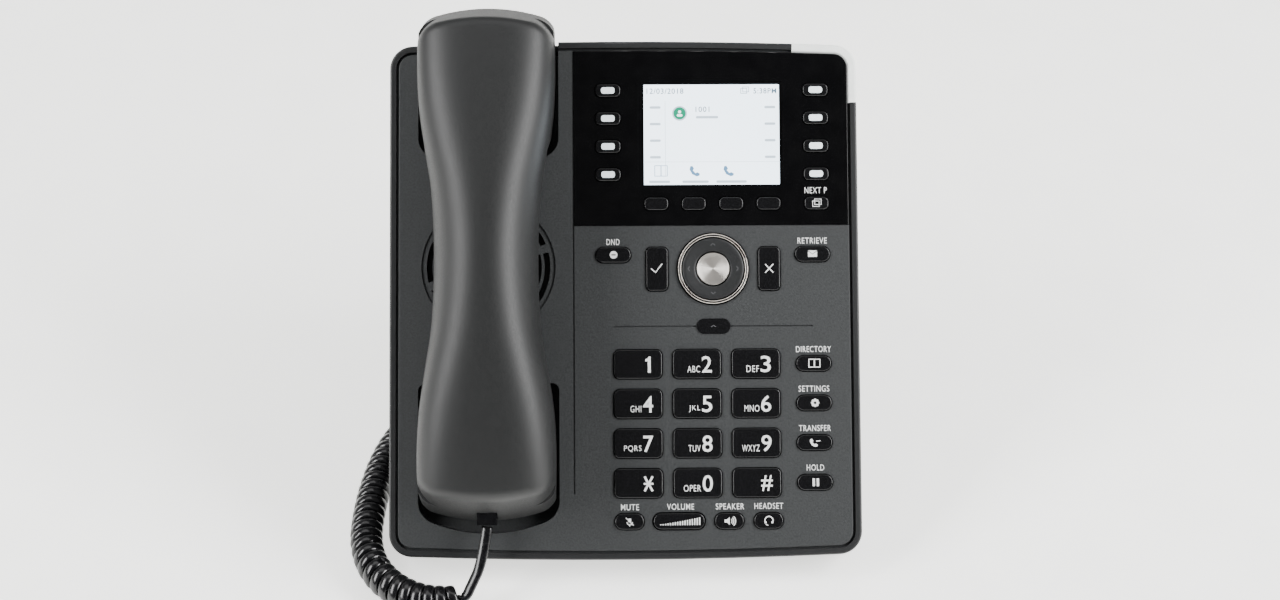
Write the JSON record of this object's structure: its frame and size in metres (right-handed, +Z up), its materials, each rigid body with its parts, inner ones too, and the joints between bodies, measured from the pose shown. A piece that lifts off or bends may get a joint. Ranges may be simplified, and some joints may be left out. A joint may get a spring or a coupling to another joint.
{
  "type": "desk phone",
  "caption": "Corded desk telephone on a clipped foot stand, with a cradle for the handset, a colour display, sprung keys, a rocking navigation ring and a coiled handset cord.",
  "frame": {"origin": "middle of the footprint of the telephone without its cord, on the desk", "axes": "+Z up, the face looks towards -Y and up, +X to the user's right"},
  "size_m": [0.2047, 0.1899, 0.1812],
  "materials": {
    "housing_plastic": "satin",
    "textured_plastic": "fine texture",
    "handset_plastic": "satin",
    "gloss_fascia": "polished",
    "key_plastic": "satin",
    "display": "polished",
    "lamp_lens": "frosted",
    "chrome_trim": "polished",
    "spun_metal": "spun",
    "rubber": "matt",
    "steel": "plain",
    "circuit_board": "solder mask",
    "speaker_frame": "black",
    "cord_jacket": "glossy",
    "clear_plug": "clear"
  },
  "bodies": {
    "root": {"rear_cover": "housing_plastic", "front_cover": "textured_plastic", "display_fascia": "gloss_fascia", "lcd_module": "display", "message_lamp": "lamp_lens", "foot_stand": "housing_plastic", "rubber_feet": "rubber", "cover_screws": "steel", "main_board": "circuit_board", "key_mat": "rubber", "loudspeaker": "speaker_frame", "cord_plug_base": "clear_plug", "cord_leads": "cord_jacket", "cord_coil": "cord_jacket"},
    "handset": {"handset_back_shell": "handset_plastic", "handset_front_shell": "handset_plastic", "handset_receiver": "speaker_frame", "handset_microphone": "steel", "cord_plug_handset": "clear_plug"},
    "key_1": {"key_1": "key_plastic"},
    "key_2": {"key_2": "key_plastic"},
    "key_3": {"key_3": "key_plastic"},
    "key_4": {"key_4": "key_plastic"},
    "key_5": {"key_5": "key_plastic"},
    "key_6": {"key_6": "key_plastic"},
    "key_7": {"key_7": "key_plastic"},
    "key_8": {"key_8": "key_plastic"},
    "key_9": {"key_9": "key_plastic"},
    "key_star": {"key_star": "key_plastic"},
    "key_0": {"key_0": "key_plastic"},
    "key_hash": {"key_hash": "key_plastic"},
    "line_key_left_1": {"line_key_left_1": "key_plastic"},
    "line_key_left_2": {"line_key_left_2": "key_plastic"},
    "line_key_left_3": {"line_key_left_3": "key_plastic"},
    "line_key_left_4": {"line_key_left_4": "key_plastic"},
    "line_key_right_1": {"line_key_right_1": "key_plastic"},
    "line_key_right_2": {"line_key_right_2": "key_plastic"},
    "line_key_right_3": {"line_key_right_3": "key_plastic"},
    "line_key_right_4": {"line_key_right_4": "key_plastic"},
    "soft_key_1": {"soft_key_1": "key_plastic"},
    "soft_key_2": {"soft_key_2": "key_plastic"},
    "soft_key_3": {"soft_key_3": "key_plastic"},
    "soft_key_4": {"soft_key_4": "key_plastic"},
    "key_next_page": {"key_next_page": "key_plastic"},
    "key_do_not_disturb": {"key_do_not_disturb": "key_plastic"},
    "key_retrieve": {"key_retrieve": "key_plastic"},
    "key_directory": {"key_directory": "key_plastic"},
    "key_settings": {"key_settings": "key_plastic"},
    "key_transfer": {"key_transfer": "key_plastic"},
    "key_hold": {"key_hold": "key_plastic"},
    "key_confirm": {"key_confirm": "key_plastic"},
    "key_cancel": {"key_cancel": "key_plastic"},
    "key_mute": {"key_mute": "key_plastic"},
    "key_speaker": {"key_speaker": "key_plastic"},
    "key_headset": {"key_headset": "key_plastic"},
    "key_ok": {"key_ok": "spun_metal"},
    "key_volume": {"key_volume": "key_plastic"},
    "nav_trim_ring": {"nav_trim_ring": "chrome_trim"},
    "nav_ring": {"nav_ring": "key_plastic"},
    "hook_switch": {"hook_switch": "housing_plastic"}
  },
  "joints": [
    {"name": "handset_lift", "type": "slide", "parent": "root", "child": "handset", "axis": [0, -0.7071, 0.7071], "range_m": [0, 0.06]},
    {"name": "hook_rise", "type": "slide", "parent": "root", "child": "hook_switch", "axis": [0, -0.7071, 0.7071], "range_m": [0, 0.0027]},
    {"name": "key_1_press", "type": "slide", "parent": "root", "child": "key_1", "axis": [0, 0.7071, -0.7071], "range_m": [0, 0.0008], "stiffness_N_per_m": 400, "springref_m": -0.001},
    {"name": "key_2_press", "type": "slide", "parent": "root", "child": "key_2", "axis": [0, 0.7071, -0.7071], "range_m": [0, 0.0008], "stiffness_N_per_m": 400, "springref_m": -0.001},
    {"name": "key_3_press", "type": "slide", "parent": "root", "child": "key_3", "axis": [0, 0.7071, -0.7071], "range_m": [0, 0.0008], "stiffness_N_per_m": 400, "springref_m": -0.001},
    {"name": "key_4_press", "type": "slide", "parent": "root", "child": "key_4", "axis": [0, 0.7071, -0.7071], "range_m": [0, 0.0008], "stiffness_N_per_m": 400, "springref_m": -0.001},
    {"name": "key_5_press", "type": "slide", "parent": "root", "child": "key_5", "axis": [0, 0.7071, -0.7071], "range_m": [0, 0.0008], "stiffness_N_per_m": 400, "springref_m": -0.001},
    {"name": "key_6_press", "type": "slide", "parent": "root", "child": "key_6", "axis": [0, 0.7071, -0.7071], "range_m": [0, 0.0008], "stiffness_N_per_m": 400, "springref_m": -0.001},
    {"name": "key_7_press", "type": "slide", "parent": "root", "child": "key_7", "axis": [0, 0.7071, -0.7071], "range_m": [0, 0.0008], "stiffness_N_per_m": 400, "springref_m": -0.001},
    {"name": "key_8_press", "type": "slide", "parent": "root", "child": "key_8", "axis": [0, 0.7071, -0.7071], "range_m": [0, 0.0008], "stiffness_N_per_m": 400, "springref_m": -0.001},
    {"name": "key_9_press", "type": "slide", "parent": "root", "child": "key_9", "axis": [0, 0.7071, -0.7071], "range_m": [0, 0.0008], "stiffness_N_per_m": 400, "springref_m": -0.001},
    {"name": "key_star_press", "type": "slide", "parent": "root", "child": "key_star", "axis": [0, 0.7071, -0.7071], "range_m": [0, 0.0008], "stiffness_N_per_m": 400, "springref_m": -0.001},
    {"name": "key_0_press", "type": "slide", "parent": "root", "child": "key_0", "axis": [0, 0.7071, -0.7071], "range_m": [0, 0.0008], "stiffness_N_per_m": 400, "springref_m": -0.001},
    {"name": "key_hash_press", "type": "slide", "parent": "root", "child": "key_hash", "axis": [0, 0.7071, -0.7071], "range_m": [0, 0.0008], "stiffness_N_per_m": 400, "springref_m": -0.001},
    {"name": "line_key_left_1_press", "type": "slide", "parent": "root", "child": "line_key_left_1", "axis": [0, 0.7071, -0.7071], "range_m": [0, 0.0008], "stiffness_N_per_m": 400, "springref_m": -0.001},
    {"name": "line_key_left_2_press", "type": "slide", "parent": "root", "child": "line_key_left_2", "axis": [0, 0.7071, -0.7071], "range_m": [0, 0.0008], "stiffness_N_per_m": 400, "springref_m": -0.001},
    {"name": "line_key_left_3_press", "type": "slide", "parent": "root", "child": "line_key_left_3", "axis": [0, 0.7071, -0.7071], "range_m": [0, 0.0008], "stiffness_N_per_m": 400, "springref_m": -0.001},
    {"name": "line_key_left_4_press", "type": "slide", "parent": "root", "child": "line_key_left_4", "axis": [0, 0.7071, -0.7071], "range_m": [0, 0.0008], "stiffness_N_per_m": 400, "springref_m": -0.001},
    {"name": "line_key_right_1_press", "type": "slide", "parent": "root", "child": "line_key_right_1", "axis": [0, 0.7071, -0.7071], "range_m": [0, 0.0008], "stiffness_N_per_m": 400, "springref_m": -0.001},
    {"name": "line_key_right_2_press", "type": "slide", "parent": "root", "child": "line_key_right_2", "axis": [0, 0.7071, -0.7071], "range_m": [0, 0.0008], "stiffness_N_per_m": 400, "springref_m": -0.001},
    {"name": "line_key_right_3_press", "type": "slide", "parent": "root", "child": "line_key_right_3", "axis": [0, 0.7071, -0.7071], "range_m": [0, 0.0008], "stiffness_N_per_m": 400, "springref_m": -0.001},
    {"name": "line_key_right_4_press", "type": "slide", "parent": "root", "child": "line_key_right_4", "axis": [0, 0.7071, -0.7071], "range_m": [0, 0.0008], "stiffness_N_per_m": 400, "springref_m": -0.001},
    {"name": "soft_key_1_press", "type": "slide", "parent": "root", "child": "soft_key_1", "axis": [0, 0.7071, -0.7071], "range_m": [0, 0.0008], "stiffness_N_per_m": 400, "springref_m": -0.001},
    {"name": "soft_key_2_press", "type": "slide", "parent": "root", "child": "soft_key_2", "axis": [0, 0.7071, -0.7071], "range_m": [0, 0.0008], "stiffness_N_per_m": 400, "springref_m": -0.001},
    {"name": "soft_key_3_press", "type": "slide", "parent": "root", "child": "soft_key_3", "axis": [0, 0.7071, -0.7071], "range_m": [0, 0.0008], "stiffness_N_per_m": 400, "springref_m": -0.001},
    {"name": "soft_key_4_press", "type": "slide", "parent": "root", "child": "soft_key_4", "axis": [0, 0.7071, -0.7071], "range_m": [0, 0.0008], "stiffness_N_per_m": 400, "springref_m": -0.001},
    {"name": "key_next_page_press", "type": "slide", "parent": "root", "child": "key_next_page", "axis": [0, 0.7071, -0.7071], "range_m": [0, 0.0008], "stiffness_N_per_m": 400, "springref_m": -0.001},
    {"name": "key_do_not_disturb_press", "type": "slide", "parent": "root", "child": "key_do_not_disturb", "axis": [0, 0.7071, -0.7071], "range_m": [0, 0.0008], "stiffness_N_per_m": 400, "springref_m": -0.001},
    {"name": "key_retrieve_press", "type": "slide", "parent": "root", "child": "key_retrieve", "axis": [0, 0.7071, -0.7071], "range_m": [0, 0.0008], "stiffness_N_per_m": 400, "springref_m": -0.001},
    {"name": "key_directory_press", "type": "slide", "parent": "root", "child": "key_directory", "axis": [0, 0.7071, -0.7071], "range_m": [0, 0.0008], "stiffness_N_per_m": 400, "springref_m": -0.001},
    {"name": "key_settings_press", "type": "slide", "parent": "root", "child": "key_settings", "axis": [0, 0.7071, -0.7071], "range_m": [0, 0.0008], "stiffness_N_per_m": 400, "springref_m": -0.001},
    {"name": "key_transfer_press", "type": "slide", "parent": "root", "child": "key_transfer", "axis": [0, 0.7071, -0.7071], "range_m": [0, 0.0008], "stiffness_N_per_m": 400, "springref_m": -0.001},
    {"name": "key_hold_press", "type": "slide", "parent": "root", "child": "key_hold", "axis": [0, 0.7071, -0.7071], "range_m": [0, 0.0008], "stiffness_N_per_m": 400, "springref_m": -0.001},
    {"name": "key_confirm_press", "type": "slide", "parent": "root", "child": "key_confirm", "axis": [0, 0.7071, -0.7071], "range_m": [0, 0.0008], "stiffness_N_per_m": 400, "springref_m": -0.001},
    {"name": "key_cancel_press", "type": "slide", "parent": "root", "child": "key_cancel", "axis": [0, 0.7071, -0.7071], "range_m": [0, 0.0008], "stiffness_N_per_m": 400, "springref_m": -0.001},
    {"name": "key_mute_press", "type": "slide", "parent": "root", "child": "key_mute", "axis": [0, 0.7071, -0.7071], "range_m": [0, 0.0008], "stiffness_N_per_m": 400, "springref_m": -0.001},
    {"name": "key_speaker_press", "type": "slide", "parent": "root", "child": "key_speaker", "axis": [0, 0.7071, -0.7071], "range_m": [0, 0.0008], "stiffness_N_per_m": 400, "springref_m": -0.001},
    {"name": "key_headset_press", "type": "slide", "parent": "root", "child": "key_headset", "axis": [0, 0.7071, -0.7071], "range_m": [0, 0.0008], "stiffness_N_per_m": 400, "springref_m": -0.001},
    {"name": "key_ok_press", "type": "slide", "parent": "root", "child": "key_ok", "axis": [0, 0.7071, -0.7071], "range_m": [0, 0.0008], "stiffness_N_per_m": 400, "springref_m": -0.001},
    {"name": "key_volume_rock", "type": "hinge", "parent": "root", "child": "key_volume", "pos_m": [0.02105, -0.06802, 0.01945], "axis": [0, 0.7071, 0.7071], "range_deg": [-2.5, 2.5], "stiffness_Nm_per_rad": 0.05},
    {"name": "nav_tilt_up_down", "type": "hinge", "parent": "root", "child": "nav_trim_ring", "pos_m": [0.0353, 0.00199, 0.09087], "axis": [1, 0, 0], "range_deg": [-2.5, 2.5], "stiffness_Nm_per_rad": 0.08},
    {"name": "nav_tilt_left_right", "type": "hinge", "parent": "nav_trim_ring", "child": "nav_ring", "pos_m": [0.0353, 0.00199, 0.09087], "axis": [0, 0.7071, 0.7071], "range_deg": [-2.5, 2.5], "stiffness_Nm_per_rad": 0.08}
  ],
  "couplings": [
    {"joint": "hook_rise", "follows": "handset_lift", "ratio": 0.045}
  ]
}
